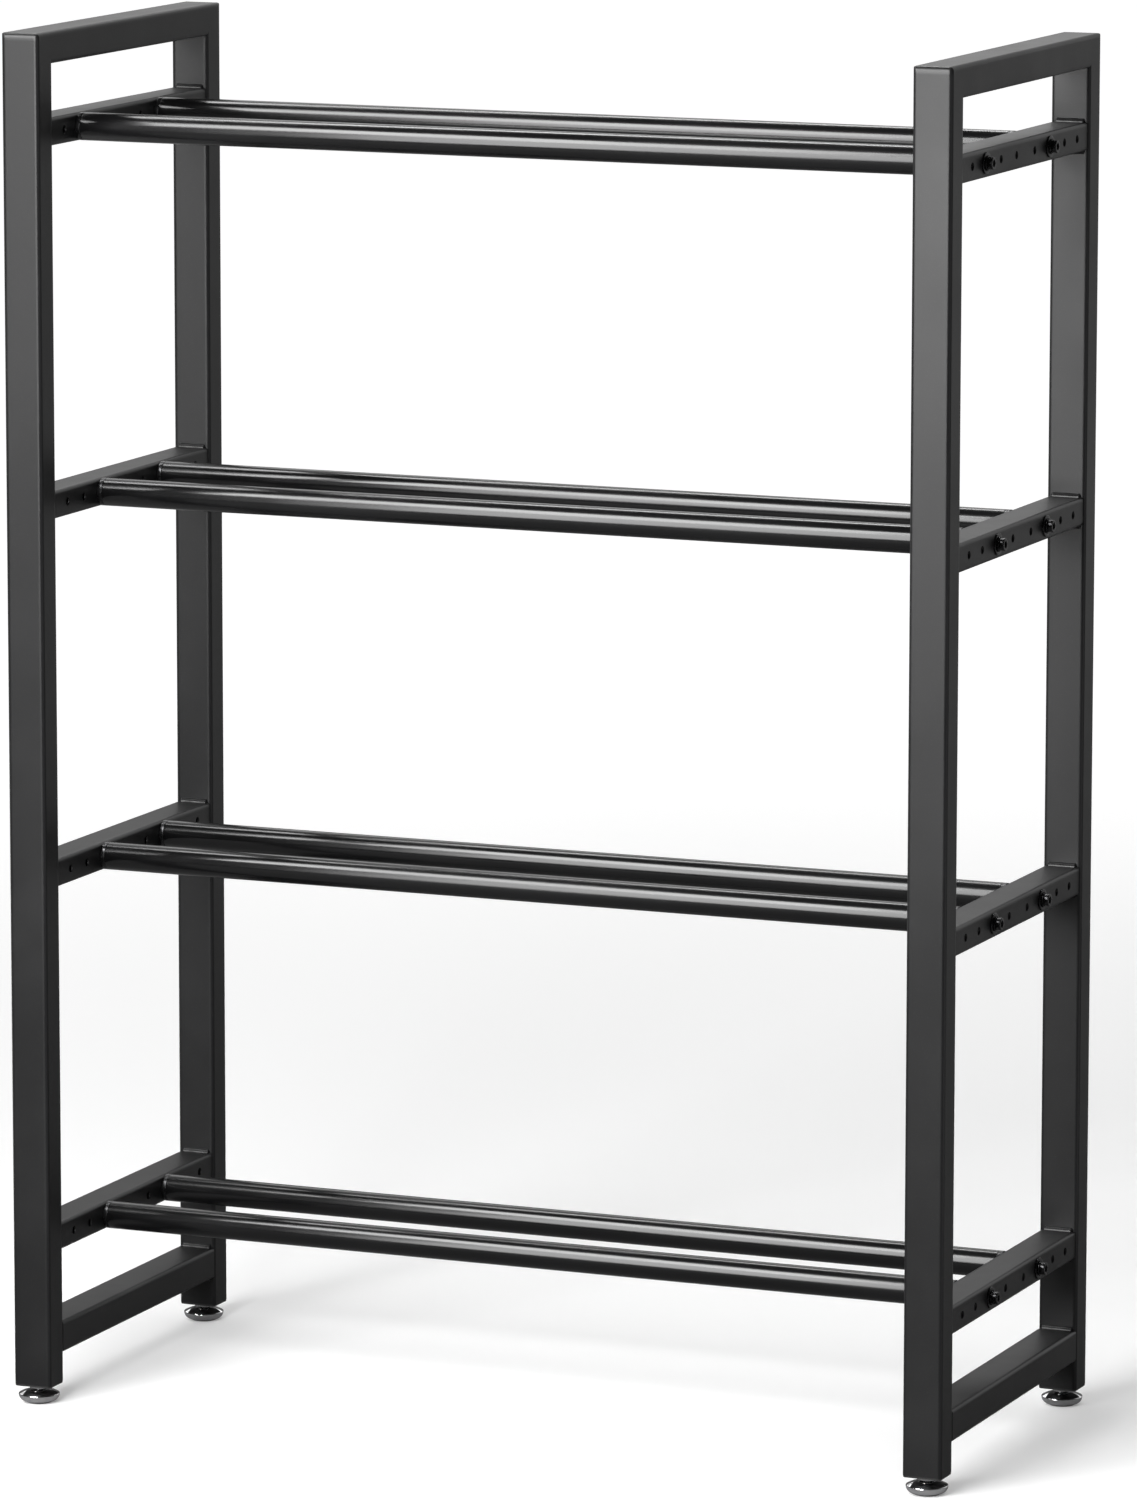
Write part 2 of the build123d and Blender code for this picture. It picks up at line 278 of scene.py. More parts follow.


# The coat itself: slow drift in colour and gloss, pale specks, and where there is a corner band, a thinner, smoother
# coat in gloss with a painted sheen lightening its colour
def powderCoat(name, band=None):
    finish = Finish(name)
    s = frameCoat
    drift = finish.noise(s["drift"], detail=4, roughness=0.6)
    peel = finish.noise(s["peel"], detail=2)
    grain = finish.noise(s["grain"], detail=3)
    speck = finish.ramp(finish.noise(s["speck"], detail=1), 0.63, 0.72)
    edge, fall = band(finish) if band else (0.0, 0.0)
    colour = finish.blend(finish.ramp(drift, 0.35, 0.7), s["colour"], s["paler"])
    colour = finish.blend(finish.math("MULTIPLY", speck, s["speckShare"]), colour, s["edge"])
    # Painted sheen: the corner band is lightened towards the pale edge colour
    colour = finish.blend(finish.math("MULTIPLY", edge, s["cornerSheenShare"]), colour, s["edge"])
    dull, bright = s["roughness"] + s["roughnessDrift"], s["roughness"] - s["roughnessDrift"]
    rough = finish.ramp(drift, 0.3, 0.75, bright, dull)
    uneven = finish.math("MULTIPLY", finish.math("SUBTRACT", grain, 0.5), s["grainRoughness"])
    thin = finish.math("MULTIPLY", edge, s["roughness"] - s["edgeRoughness"])
    rough = finish.math("SUBTRACT", finish.math("ADD", rough, uneven), thin)
    skin = [finish.math("MULTIPLY", peel, s["peelDepth"]), finish.math("MULTIPLY", grain, s["grainDepth"])]
    height = finish.math("ADD", finish.math("ADD", *skin), fall)
    return finish.wear(Base_Color=colour, Roughness=rough, Specular_IOR_Level=s["level"],
                       Normal=finish.bump(height, 1.0))


postMiddle, postHalf = middleOf("right_rear_post")
topMiddle, topHalf = middleOf("right_top_bar")
bottomMiddle, bottomHalf = middleOf("right_bottom_bar")
tierMiddles = [middleOf(f"right_tier_bar_{tier}")[0].z for tier in tiers]
tierHalf = middleOf("right_tier_bar_1")[1]
pitch = tierMiddles[0] - tierMiddles[1]


# The capped tops of the posts are ground rounder, at the faces that look forward and back
def postBand(finish):
    x, y, z = finish.axes()
    across = (fromMirrored(finish, x, frameX), postHalf.x)
    edge, fall = cornerBand(finish, across, (fromMirrored(finish, y, postMiddle.y), postHalf.y))
    top = topMiddle.z + topHalf.z
    return edge, finish.math("ADD", fall, softFall(finish, z, top, frameCoat["capSoft"], frameCoat["capSlope"]))


# Corners of a bar that runs front to back, from its middle height
def barBand(finish, middle, half):
    x, y, z = finish.axes()
    up = finish.math("ABSOLUTE", finish.math("SUBTRACT", z, middle.z))
    return cornerBand(finish, (fromMirrored(finish, x, frameX), half.x), (up, half.z))


def topBand(finish):
    return barBand(finish, topMiddle, topHalf)


def bottomBand(finish):
    return barBand(finish, bottomMiddle, bottomHalf)


# The tier bars stand one pitch apart, so their height is wrapped to the nearest one
def tierBand(finish):
    x, y, z = finish.axes()
    step = finish.math("WRAP", finish.math("SUBTRACT", z, tierMiddles[-1]), pitch / 2, -pitch / 2)
    up = finish.math("ABSOLUTE", step)
    return cornerBand(finish, (fromMirrored(finish, x, frameX), tierHalf.x), (up, tierHalf.z))


coats = {
    "post": powderCoat("postCoat", postBand), "top_bar": powderCoat("topBarCoat", topBand),
    "bottom_bar": powderCoat("bottomBarCoat", bottomBand), "tier_bar": powderCoat("tierBarCoat", tierBand),
}
for name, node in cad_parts.items():
    kind = [kind for kind in coats if kind in name]
    if kind:
        for holder in node.material_slots:
            holder.material = coats[kind[0]]
print("powder coat on the posts and bars")


# Rails of drawn tube in a glossier black, with long faint drawing lines and light scuffs scattered by noise
railTube = {
    "radius": 11.1, "wall": 1.5, "endEase": 0.35, "around": 96,
    "colour": (0.0030, 0.0030, 0.0032), "paler": (0.0050, 0.0050, 0.0053), "scuff": (0.030, 0.030, 0.031),
    "roughness": 0.20, "level": 0.36, "drift": 90 * mm, "line": 0.8 * mm, "lineShare": 0.35, "peel": 1.6 * mm,
    "mark": 2.2 * mm, "patch": 70 * mm, "scuffShare": 0.22, "scuffRoughness": 0.2, "bump": 0.008 * mm,
}


# Paint of the rails: drift and drawing lines run along the tube, and scuffs lie where marks meet patches
def railPaint():
    finish = Finish("railPaint")
    s = railTube
    drift = finish.noise(s["drift"], detail=3, stretch=(2, 1, 1))
    lines = finish.noise(s["line"], detail=2, stretch=(60, 1, 1))
    peel = finish.noise(s["peel"], detail=2, stretch=(1.6, 1, 1))
    marks = finish.ramp(finish.noise(s["mark"], detail=4, roughness=0.7, stretch=(0.5, 4, 4)), 0.66, 0.78)
    patches = finish.ramp(finish.noise(s["patch"], detail=2), 0.5, 0.68)
    scuff = finish.math("MULTIPLY", finish.math("MULTIPLY", marks, patches), s["scuffShare"])
    colour = finish.blend(finish.ramp(drift, 0.3, 0.7), s["colour"], s["paler"])
    colour = finish.blend(scuff, colour, s["scuff"])
    rough = finish.ramp(drift, 0.3, 0.7, s["roughness"] - 0.03, s["roughness"] + 0.04)
    rough = finish.math("ADD", rough, finish.math("MULTIPLY", scuff, s["scuffRoughness"]))
    height = finish.math("ADD", peel, finish.math("MULTIPLY", lines, s["lineShare"]))
    return finish.wear(Base_Color=colour, Roughness=rough, Specular_IOR_Level=s["level"],
                       Normal=finish.bump(height, s["bump"]))


railFinish = railPaint()
for (end, tier), (y, z) in zip(railPlaces, railAxes):
    node = f"{end}_rail_{tier}"
    half = middleOf(node)[1].x / mm
    bore = railTube["radius"] - railTube["wall"]
    outline = eased([(bore, -half), (railTube["radius"], -half), (railTube["radius"], half), (bore, half)],
                    [0.15, railTube["endEase"], railTube["endEase"], 0.15])
    grid = turned(outline, railTube["around"])[..., [2, 0, 1]] + np.array([0, y, z])
    fit(makePiece(f"railTube_{end}_{tier}", grid, True, True), "frame", "rail_coat", railFinish, node)
print("rails drawn")


# Blackened steel of the fasteners: dark oxide with worn, brighter patches scattered by noise
blackening = {
    "colour": (0.020, 0.020, 0.021), "worn": (0.14, 0.14, 0.145), "wornShare": 0.45, "roughness": 0.24, "metal": 0.8,
    "blotch": 3.5 * mm, "fine": 0.25 * mm, "rub": 0.9 * mm, "bump": 0.010 * mm,
}


def blackSteel():
    finish = Finish("blackOxide")
    s = blackening
    blotch = finish.noise(s["blotch"], detail=4, roughness=0.6)
    fine = finish.noise(s["fine"], detail=2)
    rub = finish.ramp(finish.noise(s["rub"], detail=3), 0.60, 0.74)
    colour = finish.blend(finish.math("MULTIPLY", rub, s["wornShare"]), s["colour"], s["worn"])
    rough = finish.ramp(blotch, 0.25, 0.75, s["roughness"] - 0.07, s["roughness"] + 0.10)
    return finish.wear(Base_Color=colour, Roughness=rough, Metallic=s["metal"],
                       Normal=finish.bump(finish.math("ADD", fine, blotch), s["bump"]))


screwFinish = blackSteel()

# Threaded plugs in the rails' ends: a shoulder as wide as the rail, then the spigot inside it
railPlug = {"flange": 4.0, "radius": 11.1, "spigot": 9.55, "length": 24.0, "bore": 3.05, "ease": 0.4, "around": 72}
for sideName, side in sides.items():
    s = railPlug
    corners = [(s["bore"], 0), (s["radius"], 0), (s["radius"], -s["flange"]), (s["spigot"], -s["flange"]),
               (s["spigot"], -s["length"]), (s["bore"], -s["length"])]
    grid = turned(eased(corners, [0.3, s["ease"], s["ease"], 0.1, 0.8, 0.3]), s["around"])
    fit(makePiece(f"railPlugs_{sideName}", alongX(grid, barBack, side), True, True), "frame", "black_oxide",
        screwFinish, f"{sideName}_rail_plugs")

# Flat washers, punched: the outer face has the rolled edge and the inner one the sharper burr
flatWasher = {"radius": 8.5, "bore": 3.2, "thickness": 1.2, "around": 72}
for sideName, side in sides.items():
    s = flatWasher
    corners = [(s["bore"], 0), (s["radius"], 0), (s["radius"], s["thickness"]), (s["bore"], s["thickness"])]
    grid = turned(eased(corners, [0.12, 0.12, 0.45, 0.30]), s["around"])
    fit(makePiece(f"flatWashers_{sideName}", alongX(grid, barFace, side), True, True), "frame", "black_oxide",
        screwFinish, f"{sideName}_flat_washers")

# Split spring washers, pressed flat but for a slight rise along the turn, with the cut at the top.
# The section is carried round from one side of the cut to the other, and shrinks to a point to close each end.
springWasher = {"radius": 5.9, "bore": 3.2, "thickness": 1.4, "cut": 1.2, "rise": 0.10, "around": 60}
for sideName, side in sides.items():
    s = springWasher
    lift = s["rise"]
    corners = [(s["bore"], lift), (s["radius"], lift), (s["radius"], s["thickness"]), (s["bore"], s["thickness"])]
    section = eased(corners, 0.22, 4)
    halfCut = s["cut"] / (s["radius"] + s["bore"])
    share = np.concatenate([[0], np.linspace(0, 1, s["around"]), [1]])
    shrink = np.ones(len(share))
    shrink[[0, -1]] = 0
    angle = np.pi / 2 + halfCut + share * 2 * (np.pi - halfCut)
    points = section.mean(0) + (section - section.mean(0)) * shrink[:, None, None]
    out = points[..., 0] * mm
    along = (points[..., 1] - lift * share[:, None]) * mm
    grid = np.stack([out * np.cos(angle)[:, None], out * np.sin(angle)[:, None], along], -1)
    outward = barFace + flatWasher["thickness"] * mm
    fit(makePiece(f"springWashers_{sideName}", alongX(grid, outward, side), False, True), "frame", "black_oxide",
        screwFinish, f"{sideName}_spring_washers")

# Low socket-head screws: the outline goes from the socket's floor over the head and down the shank
railScrew = {"head": 5.0, "height": 4.0, "shank": 3.0, "length": 45.0, "flats": 5.0, "socket": 2.5, "around": 72}
for sideName, side in sides.items():
    s = railScrew
    floor = s["height"] - s["socket"]
    key = s["flats"] / 2
    crown = eased([(key + 0.45, s["height"]), (s["head"], s["height"]), (s["head"], 0), (s["shank"], 0),
                   (s["shank"], -s["length"]), (0, -s["length"])], [0, 0.6, 0.25, 0.2, 0.7, 0])[4:]
    well = [(0, floor - 0.7), (key - 0.5, floor - 0.1), (key, floor), (key, floor + 0.1), (key, s["height"] - 0.35),
            (key + 0.12, s["height"] - 0.2)]
    shares = [0, 0.6, 1, 1, 1, 0.75] + [0] * len(crown)
    grid = turned(np.concatenate([well, crown]), s["around"], shares)
    outward = barFace + (flatWasher["thickness"] + springWasher["thickness"]) * mm
    fit(makePiece(f"railScrews_{sideName}", alongX(grid, outward, side), False, True), "frame", "black_oxide",
        screwFinish, f"{sideName}_rail_screws")
print("plugs, washers and screws made")


# Fillet welds above and below both ends of every bar. Across, a bead swings from the bar to the post, its reach
# cut back in the middle of the swing; along, the reach rises and falls with each ripple and tapers at both ends.
weldBead = {
    "leg": 3.0, "ripple": 1.9, "rippleDepth": 0.045, "belly": 0.17, "around": 15, "along": 120, "endTaper": 1.6,
    "root": 0.25, "tierHalf": 12.3, "lowHalf": 13.375,
}


def beads(bars, halfLength, seed):
    s = weldBead
    rng = np.random.default_rng(seed)
    x = np.linspace(-halfLength, halfLength, s["along"])[:, None]
    swing = np.linspace(0, np.pi / 2, s["around"])
    grids = []
    for barZ, barHalfZ, barHalfY in bars:
        for up in (-1, 1):
            for end in (-1, 1):
                phase, slow, wander = rng.uniform(0, 1, 3)
                turns = x / s["ripple"] + 0.30 * np.sin(2 * swing) + phase + 0.25 * np.sin(x * 0.7 + 6 * wander)
                crest = np.abs(np.sin(np.pi * turns)) - 0.64
                size = 1 + s["rippleDepth"] * crest * np.sin(2 * swing) ** 2 + 0.035 * np.sin(x * 0.5 + 6 * slow)
                fromEnd = np.clip((halfLength - np.abs(x)) / s["endTaper"], 0, 1)
                taper = 0.12 + 0.88 * np.sqrt(1 - (1 - fromEnd) ** 2)
                reach = s["leg"] * size * taper * (1 - s["belly"] * np.sin(2 * swing) ** 2) * 0.97
                inward, upward = reach * np.cos(swing), reach * np.sin(swing)
                root = np.full_like(x, -s["root"])
                inward, upward = np.hstack([inward, root]), np.hstack([upward, root])
                inward = np.vstack([root[:1] + 0 * inward[:1], inward, root[:1] + 0 * inward[:1]])
                upward = np.vstack([root[:1] + 0 * upward[:1], upward, root[:1] + 0 * upward[:1]])
                along = np.vstack([x[:1], x, x[-1:]]) + 0 * inward
                grids.append(np.stack([along * mm, end * (barHalfY - inward * mm),
                                       barZ + up * (barHalfZ + upward * mm)], -1))
    return np.array(grids)


weldFinish = powderCoat("weldCoat")
for sideName, side in sides.items():
    tierBars = [(z, tierHalf.z, tierHalf.y) for z in tierMiddles]
    lowBar = [(bottomMiddle.z, bottomHalf.z, bottomHalf.y)]
    grids = np.concatenate([beads(tierBars, weldBead["tierHalf"], 5 + side),
                            beads(lowBar, weldBead["lowHalf"], 9 + side)])
    grids[..., 0] += side * frameX
    fit(makePiece(f"weldBeads_{sideName}", grids, False, True, 60), "frame", "frame_coat", weldFinish,
        f"{sideName}_weld_beads")
print("weld beads laid")


# Chromed pressed cups of the levelling feet, from the same arcs as the pressing tool
footCup = {
    "around": 128, "colour": (0.80, 0.80, 0.81), "dull": (0.62, 0.62, 0.63), "dullShare": 0.6, "roughness": 0.06,
    "haze": 4 * mm, "spot": 0.7 * mm, "spotRoughness": 0.12, "polish": 0.02, "bump": 0.004 * mm,
}


# Plate with a slow haze and small dull spots; the polishing lines follow the run round the cup
def chromePlate():
    finish = Finish("footChrome")
    s = footCup
    haze = finish.noise(s["haze"], detail=4, roughness=0.6)
    polish = finish.noise(s["polish"], detail=2, stretch=(6, 0.35, 1), vector=finish.run)
    spots = finish.ramp(finish.noise(s["spot"], detail=2), 0.68, 0.76)
    dull = finish.math("MULTIPLY", finish.ramp(haze, 0.4, 0.8), s["dullShare"])
    colour = finish.blend(dull, s["colour"], s["dull"])
    rough = finish.ramp(haze, 0.3, 0.8, s["roughness"] - 0.02, s["roughness"] + 0.05)
    rough = finish.math("ADD", rough, finish.math("MULTIPLY", spots, s["spotRoughness"]))
    return finish.wear(Base_Color=colour, Roughness=rough, Metallic=1.0, Normal=finish.bump(polish, s["bump"]))


cupArcs = [
    ((12.2, 1.0), (15.2, 3.0), (16.4, 6.3)), ((16.4, 6.3), (16.3, 6.9), (15.8, 7.2)),
    ((15.8, 7.2), (10.4, 9.5), (4.3, 10.6)), ((4.3, 9.4), (10.0, 8.4), (14.9, 6.4)),
    ((14.9, 6.4), (14.0, 3.6), (11.3, 1.8)), ((11.3, 1.8), (11.4, 1.1), (12.2, 1.0)),
]
cupFinish = chromePlate()

# Glides moulded in black plastic, with ring grooves under the tread
footGlide = {
    "radius": 10.8, "rim": 13.8, "rimLow": 4.8, "top": 6.2, "around": 96,
    "colour": (0.012, 0.012, 0.012), "paler": (0.022, 0.022, 0.022), "roughness": 0.52, "level": 0.4,
    "cloud": 6 * mm, "spark": 0.30 * mm, "bump": 0.012 * mm,
}


# Plastic off a spark-eroded mould: a fine even grain in the surface and its gloss
def mouldedPlastic():
    finish = Finish("blackPlastic")
    s = footGlide
    cloud = finish.noise(s["cloud"], detail=3)
    spark = finish.noise(s["spark"], detail=2)
    colour = finish.blend(cloud, s["colour"], s["paler"])
    rough = finish.ramp(spark, 0.2, 0.8, s["roughness"] - 0.06, s["roughness"] + 0.08)
    return finish.wear(Base_Color=colour, Roughness=rough, Specular_IOR_Level=s["level"],
                       Normal=finish.bump(spark, s["bump"]))


plasticFinish = mouldedPlastic()

# Studs with their collar and rivet. Round parts have one radius; the collar is a hexagon cut by cones at both
# faces; the thread's reach is a triangle wave of height over pitch less turn, cut flat at crest and root.
footStud = {
    "radius": 4.0, "pitch": 1.25, "depth": 0.70, "top": 46.0, "flats": 13.0, "collarLow": 11.0, "collarTall": 2.6,
    "rivet": 6.0, "rivetLow": 6.9, "rivetTop": 8.8, "around": 60,
    "colour": (0.55, 0.55, 0.56), "dull": (0.38, 0.38, 0.37), "roughness": 0.20,
    "cloud": 2.5 * mm, "grain": 0.2 * mm, "bump": 0.006 * mm,
}


# Bright zinc, cloudy in colour and gloss
def zincPlate():
    finish = Finish("brightZinc")
    s = footStud
    cloud = finish.noise(s["cloud"], detail=4, roughness=0.65)
    grain = finish.noise(s["grain"], detail=2, stretch=(1, 1, 3))
    colour = finish.blend(finish.ramp(cloud, 0.35, 0.75), s["colour"], s["dull"])
    rough = finish.ramp(cloud, 0.3, 0.8, s["roughness"] - 0.04, s["roughness"] + 0.10)
    return finish.wear(Base_Color=colour, Roughness=rough, Metallic=1.0, Normal=finish.bump(grain, s["bump"]))


zincFinish = zincPlate()


# Rows of the stud from the rivet's floor to the tip, each row going once round
def studGrid():
    s = footStud
    angle = np.arange(s["around"]) * 2 * np.pi / s["around"]
    fromFlat = (angle + np.pi / 6) % (np.pi / 3) - np.pi / 6
    hexagon = s["flats"] / 2 / np.cos(fromFlat)
    low, high = s["collarLow"], s["collarLow"] + s["collarTall"]
    base = [(0, s["rivetLow"]), (s["rivet"] - 0.3, s["rivetLow"]), (s["rivet"], s["rivetLow"] + 0.3),
            (s["rivet"], s["rivetTop"] - 0.3), (s["rivet"] - 0.3, s["rivetTop"]), (s["radius"], s["rivetTop"]),
            (s["radius"], low)]
    base = np.array(base)[:, :, None] + 0 * angle
    face = s["flats"] / 2 - 0.25
    across = np.array([face, face + 0.45, face + 0.9, 8, 8, 8, face + 0.9, face + 0.45, face])
    up = np.array([0, 0.2, 0.42, 0.6, s["collarTall"] / 2, s["collarTall"] - 0.6, s["collarTall"] - 0.42,
                   s["collarTall"] - 0.2, s["collarTall"]])
    collar = np.stack([np.minimum(across[:, None], hexagon), low + up[:, None] + 0 * angle], 1)
    z = np.arange(high, s["top"] - 0.9, s["pitch"] / 8)
    wave = np.abs(2 * ((z[:, None] / s["pitch"] - angle / (2 * np.pi)) % 1) - 1)
    cut = np.clip(1.5 * wave - 0.2, 0, 1) - 1
    runOut = np.clip((z - high - 0.6) / 1.5, 0, 1)[:, None]
    thread = np.stack([s["radius"] - 0.03 + s["depth"] * cut * runOut, z[:, None] + 0 * angle], 1)
    tip = np.array([(s["radius"] - 1.0, s["top"]), (0, s["top"])])[:, :, None] + 0 * angle
    out, along = np.moveaxis(np.concatenate([base, collar, thread, tip]) * mm, 1, 0)
    return np.stack([out * np.cos(angle), out * np.sin(angle), along], -1)


# Inserts that close the posts: a flange, then a ribbed spigot up the tube, with the nut's pocket and the stud's hole.
# Each row is a rounded rectangle, or a circle or hexagon round the hole, all sampled at the same angles.
footInsert = {
    "halfX": 15.725, "halfY": 12.55, "corner": 2.5, "low": 14.0, "flange": 1.6, "depth": 14.0, "inset": 1.65,
    "slack": 0.15, "spigotCorner": 1.0, "hole": 4.3, "nut": 6.5, "nutTall": 6.5, "around": 144,
}


# Rows of the insert from the stud's hole out over the flange, up the ribs and down the nut's pocket
def insertGrid():
    s = footInsert
    angle = (np.arange(s["around"]) + 0.5) * 2 * np.pi / s["around"]
    way = np.stack([np.cos(angle), np.sin(angle)])

    # Reach of a rounded rectangle: to its flat sides, or where the ray meets the corner's circle
    def rectangle(halfX, halfY, corner):
        flat = np.min(np.array([halfX, halfY])[:, None] / np.abs(way), axis=0)
        centre = np.array([halfX - corner, halfY - corner])[:, None]
        onto = (np.abs(way) * centre).sum(0)
        miss = corner ** 2 - ((centre ** 2).sum(0) - onto ** 2)
        rounded = onto + np.sqrt(np.clip(miss, 0, None))
        hit = np.abs(way) * flat > centre
        return np.where(hit.all(0), rounded, flat)

    fromFlat = (angle + np.pi / 6) % (np.pi / 3) - np.pi / 6
    circle = s["hole"] + 0 * angle
    hexagon = s["nut"] / np.cos(fromFlat)
    def outer(ease):
        return rectangle(s["halfX"] - ease, s["halfY"] - ease, s["corner"])

    def inner(ease):
        step = s["inset"] - s["slack"] + ease
        return rectangle(s["halfX"] - step, s["halfY"] - step, s["spigotCorner"])

    foot, shoulder, top = s["low"], s["low"] + s["flange"], s["low"] + s["flange"] + s["depth"]
    rows = [(circle + 0.4, foot), (outer(0.45), foot), (outer(0.13), foot + 0.13), (outer(0), foot + 0.45),
            (outer(0), shoulder - 0.1), (outer(0.1), shoulder), (inner(0.3), shoulder), (inner(0.3), shoulder + 1.5),
            (inner(0), shoulder + 2.2), (inner(0), shoulder + 3.4), (inner(0.3), shoulder + 4.0),
            (inner(0.3), shoulder + 6.5), (inner(0), shoulder + 7.2), (inner(0), shoulder + 8.4),
            (inner(0.3), shoulder + 9.0), (inner(0.3), top - 1.2), (inner(0.9), top), (hexagon + 0.2, top),
            (hexagon, top - 0.3), (hexagon, top - s["nutTall"]), (circle, top - s["nutTall"]), (circle, foot + 0.4)]
    reach = np.array([row for row, height in rows]) * mm
    height = np.array([height for row, height in rows])[:, None] * mm
    return np.stack([reach * way[0], reach * way[1], height + 0 * reach], -1)


cupOutline = np.concatenate([arc(*points) for points in cupArcs])
treadZ = footGlide["top"]
glideCorners = [(0, 0.25), (2.6, 0.25), (2.9, 0), (5.2, 0), (5.5, 0.3), (6.3, 0.3), (6.6, 0), (8.4, 0), (8.7, 0.3),
                (9.4, 0.3), (9.7, 0), (footGlide["radius"], 0), (footGlide["radius"], footGlide["rimLow"]),
                (footGlide["rim"], footGlide["rimLow"]), (footGlide["rim"], treadZ), (0, treadZ)]
glideOutline = eased(glideCorners, [0, 0.1, 0.1, 0.1, 0.1, 0.1, 0.1, 0.1, 0.1, 0.1, 0.1, 0.6, 0.3, 0.3, 0.3, 0])
cup, glide = turned(cupOutline, footCup["around"]), turned(glideOutline, footGlide["around"])
stud, insert = studGrid(), insertGrid()
for sideName in sides:
    for endName in ends:
        corner = f"{sideName}_{endName}"
        node = f"{corner}_foot_cup"
        fit(makePiece(f"footCup_{corner}", onFoot(cup, node), True, True), f"{corner}_foot", "foot_chrome",
            cupFinish, node)
        fit(makePiece(f"footGlide_{corner}", onFoot(glide, node), False, True), f"{corner}_foot", "black_plastic",
            plasticFinish, f"{corner}_foot_glide")
        fit(makePiece(f"footStud_{corner}", onFoot(stud, node), False, True), f"{corner}_stud", "bright_zinc",
            zincFinish, f"{corner}_foot_stud")
        fit(makePiece(f"footInsert_{corner}", onFoot(insert, node), True, True), "frame", "black_plastic",
            plasticFinish, f"{corner}_foot_insert")
        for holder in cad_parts[f"{corner}_foot_nut"].material_slots:
            holder.material = zincFinish
print("levelling feet made")


# Plain pale floor and softboxes. The floor is brighter away from the rack, as on a lit table, and clear from below.
# What the camera sees of it is one pale colour; reflections and bounced light get the shade, back and side colours.
studio = {
    "floorColour": (0.86, 0.86, 0.86), "floorHalf": 40.0, "floorDrop": 0.0002, "floorRoughness": 0.9,
    "floorShade": (0.24, 0.24, 0.24), "floorBack": (0.60, 0.60, 0.60), "floorSide": (0.95, 0.95, 0.95),
    "glowFrom": 0.9, "glowTo": 4.0, "nearGlow": 0.16, "farGlow": 0.50,
    "frontPlace": (-0.55, -2.60, 1.42), "frontSize": (1.8, 1.9), "frontPower": 140.0,
    "keyPlace": (-1.05, -1.95, 2.75), "keySize": (2.0, 1.1), "keyPower": 150.0,
    "topPlace": (-0.95, 1.12, 2.85), "topSize": (2.4, 0.4), "topPower": 36.0,
    "backPlace": (-1.4, 3.1, 2.05), "backSize": (3.0, 1.3), "backPower": 10.0,
    "aim": (0.0, 0.0, 0.8),
    "skyBack": 0.10, "skyBackRight": 0.85, "skyHigh": 0.88, "skyFront": 0.016, "skyRight": 0.008, "skyTop": 0.08,
    "skyFill": 0.60,
}


# Flat grid of equal squares; its colour and glow follow the distance from the rack
def floorSheet():
    s = studio
    steps = np.linspace(-s["floorHalf"], s["floorHalf"], 9)
    x, y = np.meshgrid(steps, steps, indexing="ij")
    faces, _ = gridFaces(len(steps), len(steps), False, False)
    mesh = bpy.data.meshes.new("floor")
    mesh.from_pydata(np.stack([x, y, 0 * x - s["floorDrop"]], -1).reshape(-1, 3), [], faces[:, ::-1])
    floor = bpy.data.objects.new("floor", mesh)
    bpy.context.scene.collection.objects.link(floor)
    finish = Finish("floorPaper")
    length = finish.tree.nodes.new("ShaderNodeVectorMath")
    length.operation = "LENGTH"
    finish.tree.links.new(finish.place, length.inputs[0])
    seen = finish.tree.nodes.new("ShaderNodeLightPath").outputs["Is Camera Ray"]
    glow = finish.ramp(length.outputs["Value"], s["glowFrom"], s["glowTo"], s["nearGlow"], s["farGlow"])
    glow = finish.math("MULTIPLY", glow, seen)
    x, y, z = finish.axes()
    behind = finish.ramp(finish.math("SUBTRACT", y, finish.math("MULTIPLY", x, 0.4)), 0.6, 3.5)
    away = [finish.math("ABSOLUTE", value) for value in (x, y)]
    beside = finish.ramp(finish.math("DIVIDE", away[1], away[0]), 0.2, 0.45, 1.0, 0.0)
    beside = finish.math("MULTIPLY", beside, finish.ramp(away[0], 0.6, 1.6))
    shade = finish.blend(beside, finish.blend(behind, s["floorShade"], s["floorBack"]), s["floorSide"])
    colour = finish.blend(seen, shade, s["floorColour"])
    finish.shader.inputs["Emission Color"].default_value = (1, 1, 1, 1)
    mesh.materials.append(finish.wear(Base_Color=colour, Roughness=s["floorRoughness"], Specular_IOR_Level=0.0,
                                      Emission_Strength=glow))
    below = finish.tree.nodes.new("ShaderNodeNewGeometry").outputs["Backfacing"]
    clear, choice = (finish.tree.nodes.new(f"ShaderNode{kind}") for kind in ("BsdfTransparent", "MixShader"))
    output = finish.tree.get_output_node("CYCLES")
    for source, socket in zip((below, finish.shader.outputs[0], clear.outputs[0]), choice.inputs):
        finish.tree.links.new(source, socket)
    finish.tree.links.new(choice.outputs[0], output.inputs[0])


# One rectangular lamp turned to the aim; those that don't light the floor show in reflections alone
def softbox(kind, lightsFloor):
    lamp = bpy.data.lights.new(f"{kind}Box", "AREA")
    lamp.shape = "RECTANGLE"
    lamp.size, lamp.size_y = studio[f"{kind}Size"]
    lamp.energy = studio[f"{kind}Power"]
    holder = bpy.data.objects.new(f"{kind}Box", lamp)
    holder.location = studio[f"{kind}Place"]
    holder.rotation_euler = (Vector(studio["aim"]) - holder.location).to_track_quat("-Z", "Y").to_euler()
    bpy.context.scene.collection.objects.link(holder)
    holder.visible_camera = False
    holder.visible_diffuse = lightsFloor


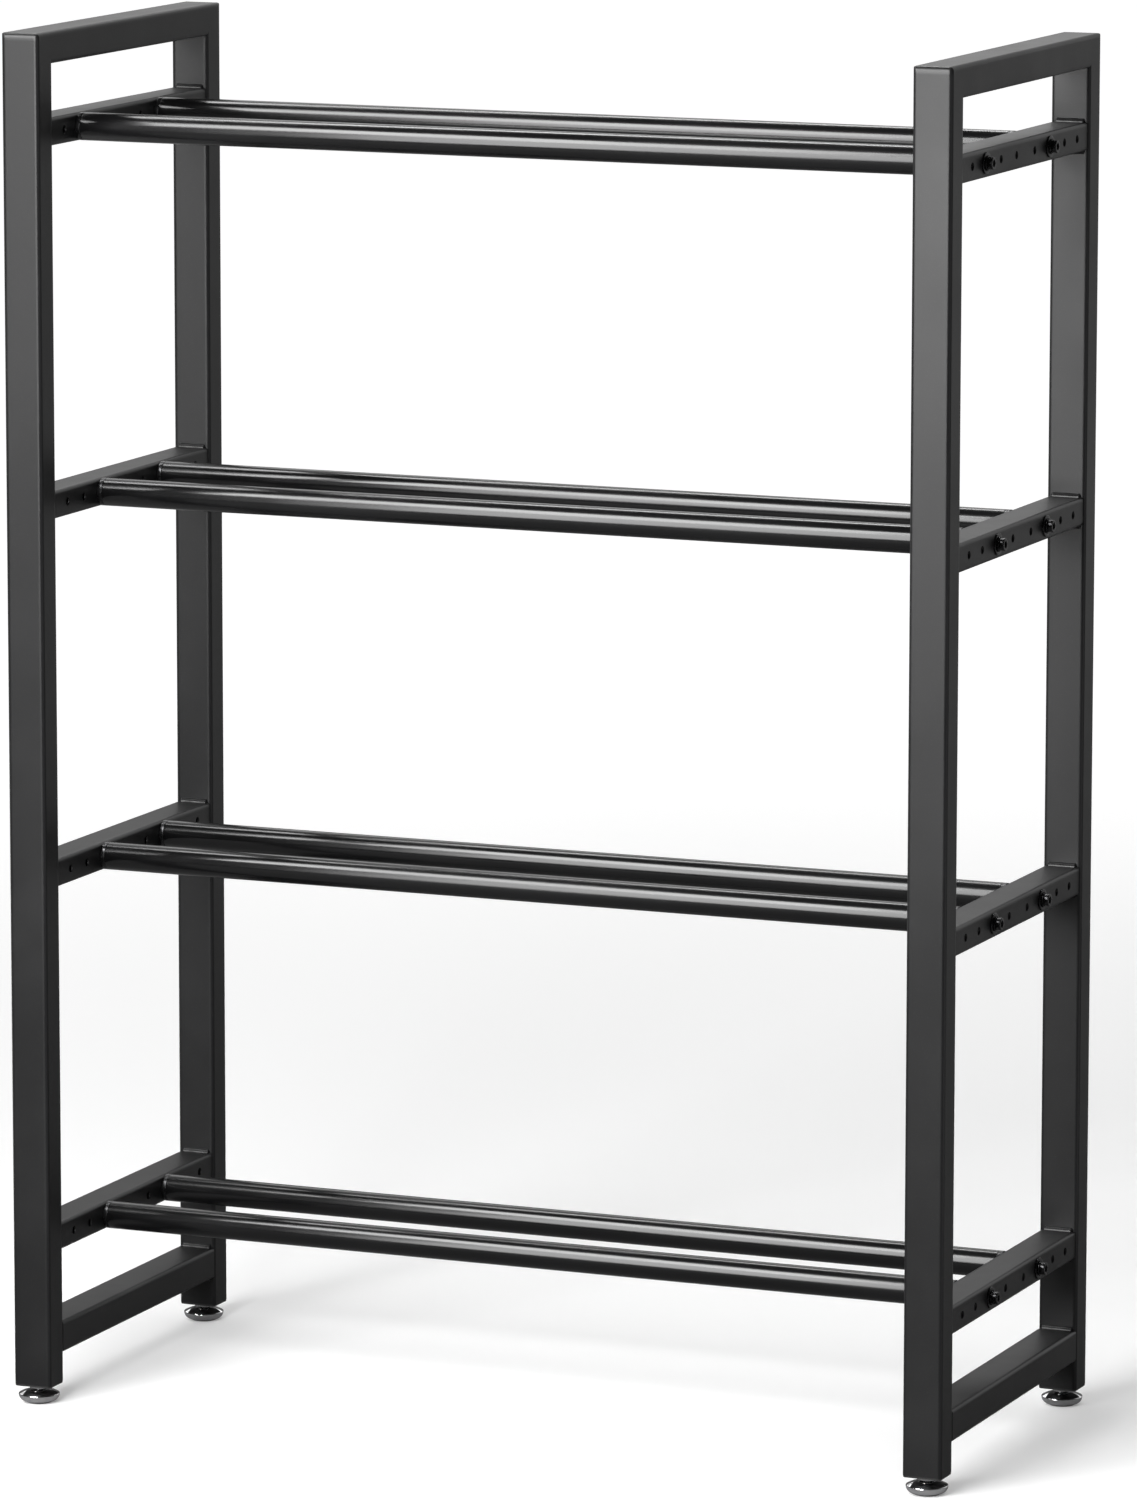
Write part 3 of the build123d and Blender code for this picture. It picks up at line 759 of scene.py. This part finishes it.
# Sky of white and black panels round the rack, chosen by direction, which only reflections show.
# The camera sees plain white behind the rack, and bounced light gets one even fill.
def panels():
    s = studio
    world = bpy.data.worlds.new("panels")
    bpy.context.scene.world = world
    world.use_nodes = True
    tree = world.node_tree
    sky = Nodes(tree)
    coordinates = tree.nodes.new("ShaderNodeTexCoord")
    split = tree.nodes.new("ShaderNodeSeparateXYZ")
    tree.links.new(coordinates.outputs["Generated"], split.inputs[0])
    x, y, z = split.outputs
    back = sky.ramp(x, -0.1, 0.3, s["skyBack"], s["skyBackRight"])
    back = sky.ramp(z, 0.28, 0.42, back, s["skyHigh"])
    level = sky.ramp(y, 0.15, 0.5, s["skyFront"], back)
    level = sky.ramp(z, 0.70, 0.86, level, s["skyTop"])
    level = sky.ramp(sky.ramp(x, 0.45, 0.75), 0.0, 1.0, level, s["skyRight"], smooth=False)
    path = tree.nodes.new("ShaderNodeLightPath")
    fill = sky.ramp(path.outputs["Is Diffuse Ray"], 0.0, 1.0, level, s["skyFill"], smooth=False)
    strength = sky.ramp(path.outputs["Is Camera Ray"], 0.0, 1.0, fill, 1.0, smooth=False)
    background = tree.nodes.new("ShaderNodeBackground")
    output = tree.nodes.new("ShaderNodeOutputWorld")
    background.inputs["Color"].default_value = (1, 1, 1, 1)
    tree.links.new(strength, background.inputs["Strength"])
    tree.links.new(background.outputs[0], output.inputs[0])


floorSheet()
for kind in ("front", "key", "top", "back"):
    softbox(kind, kind == "front")
panels()
bpy.context.scene.view_settings.view_transform = "Standard"
print("floor and lights set")

# Camera: place, then turn about Z, tilt and roll, in degrees
camera = {
    "place": (2.58696, -6.15293, 1.64763), "turn": 22.684, "down": 9.508, "roll": 0.061,
    "lens": 205.39, "sensor": 36.0, "near": 0.1, "far": 200.0,
}
shot = bpy.data.cameras.new("camera")
shot.sensor_fit, shot.sensor_width, shot.lens = "AUTO", camera["sensor"], camera["lens"]
shot.clip_start, shot.clip_end = camera["near"], camera["far"]
stand = bpy.data.objects.new("camera", shot)
stand.matrix_world = (
    Matrix.Translation(camera["place"])
    @ Matrix.Rotation(math.radians(camera["turn"]), 4, "Z")
    @ Matrix.Rotation(math.radians(90 - camera["down"]), 4, "X")
    @ Matrix.Rotation(math.radians(camera["roll"]), 4, "Z")
)
bpy.context.scene.collection.objects.link(stand)
bpy.context.scene.camera = stand
